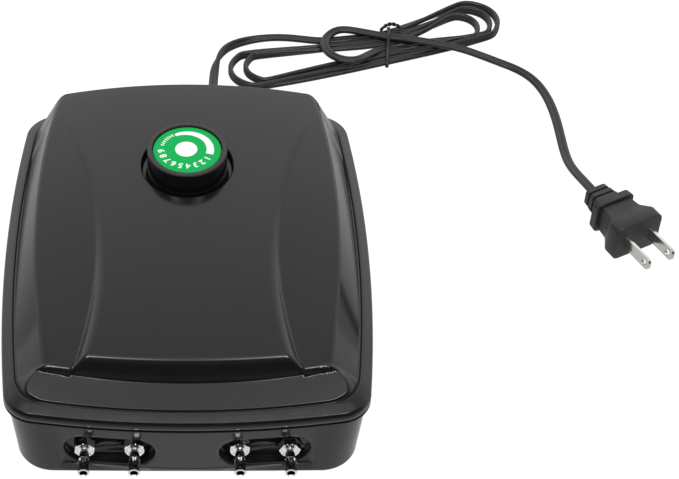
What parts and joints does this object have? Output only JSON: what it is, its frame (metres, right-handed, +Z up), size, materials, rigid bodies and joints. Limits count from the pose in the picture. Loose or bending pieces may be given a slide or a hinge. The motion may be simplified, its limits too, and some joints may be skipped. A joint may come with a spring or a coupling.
{
  "type": "air pump",
  "caption": "Mains air pump with a domed casing, top control knob, barbed air outlets in front and a flat lead with a plug.",
  "frame": {"origin": "middle of the casing's plan, outlets included, on the surface that the rubber feet stand on", "axes": "+Z up, -Y towards the air outlets, +X to the right as seen from the outlets"},
  "size_m": [0.2893, 0.3151, 0.0731],
  "materials": {
    "shell": "moulded ABS, fine satin gloss",
    "knob": "moulded, glossy side and a matt rim",
    "dial": "printed green insert with a white scale",
    "rubber": "matt",
    "chrome": "polished plating",
    "steel": "zinc plated",
    "hose": "soft silicone",
    "lamination": "varnished sheet steel stack",
    "copper": "enamelled copper winding",
    "nylon": "natural nylon",
    "ferrite": "sintered, dark grey",
    "board": "green solder mask",
    "capacitor": "sleeved can",
    "terminal": "blue moulding",
    "felt": "white wool felt",
    "cord": "black PVC, satin",
    "tie": "plastic coated wire",
    "nickel": "nickel plated brass"
  },
  "bodies": {
    "housing": {"base_shell": "shell", "cover_shell": "shell", "filter_cover": "shell", "rim_gasket": "rubber", "rubber_foot_1": "rubber", "rubber_foot_2": "rubber", "rubber_foot_3": "rubber", "rubber_foot_4": "rubber", "arm_pivot_left": "rubber", "arm_pivot_right": "rubber", "diaphragm_left": "rubber", "diaphragm_right": "rubber", "flap_valve_left": "rubber", "flap_valve_right": "rubber", "air_outlet_1": "chrome", "air_outlet_2": "chrome", "air_outlet_3": "chrome", "air_outlet_4": "chrome", "outlet_nut_1": "steel", "outlet_nut_2": "steel", "outlet_nut_3": "steel", "outlet_nut_4": "steel", "cover_screw_1": "steel", "cover_screw_2": "steel", "cover_screw_3": "steel", "cover_screw_4": "steel", "core_screw_1": "steel", "core_screw_2": "steel", "potentiometer": "steel", "potentiometer_nut": "steel", "air_hose_1": "hose", "air_hose_2": "hose", "air_hose_3": "hose", "air_hose_4": "hose", "magnet_core": "lamination", "coil_winding": "copper", "coil_bobbin": "nylon", "valve_chamber_left": "nylon", "valve_chamber_right": "nylon", "board_triac": "ferrite", "control_board": "board", "board_capacitor": "capacitor", "terminal_block": "terminal", "filter_felt": "felt", "power_cord_lead": "cord", "cord_hank": "cord", "power_cord_tail": "cord", "strain_relief": "cord", "plug_body": "cord", "cord_tie": "tie", "plug_blade_left": "nickel", "plug_blade_right": "nickel"},
    "knob": {"control_knob": "knob", "dial_disc": "dial", "potentiometer_shaft": "nylon"},
    "arm_left": {"swing_arm_left": "steel", "arm_magnet_left": "ferrite"},
    "arm_right": {"swing_arm_right": "steel", "arm_magnet_right": "ferrite"}
  },
  "joints": [
    {"name": "knob_turn", "type": "hinge", "parent": "housing", "child": "knob", "pos_m": [0, 0.0288, 0.073], "axis": [0, 0, 1], "range_deg": [-135, 135]},
    {"name": "arm_left_swing", "type": "hinge", "parent": "housing", "child": "arm_left", "pos_m": [-0.0283, 0.0494, 0.021], "axis": [0, 0, 1], "range_deg": [-2, 2], "stiffness_Nm_per_rad": 8, "deforming": ["diaphragm_left"]},
    {"name": "arm_right_swing", "type": "hinge", "parent": "housing", "child": "arm_right", "pos_m": [0.0283, 0.0494, 0.021], "axis": [0, 0, 1], "range_deg": [-2, 2], "stiffness_Nm_per_rad": 8, "deforming": ["diaphragm_right"]}
  ],
  "couplings": [
    {"joint": "arm_right_swing", "follows": "arm_left_swing", "ratio": -1}
  ]
}
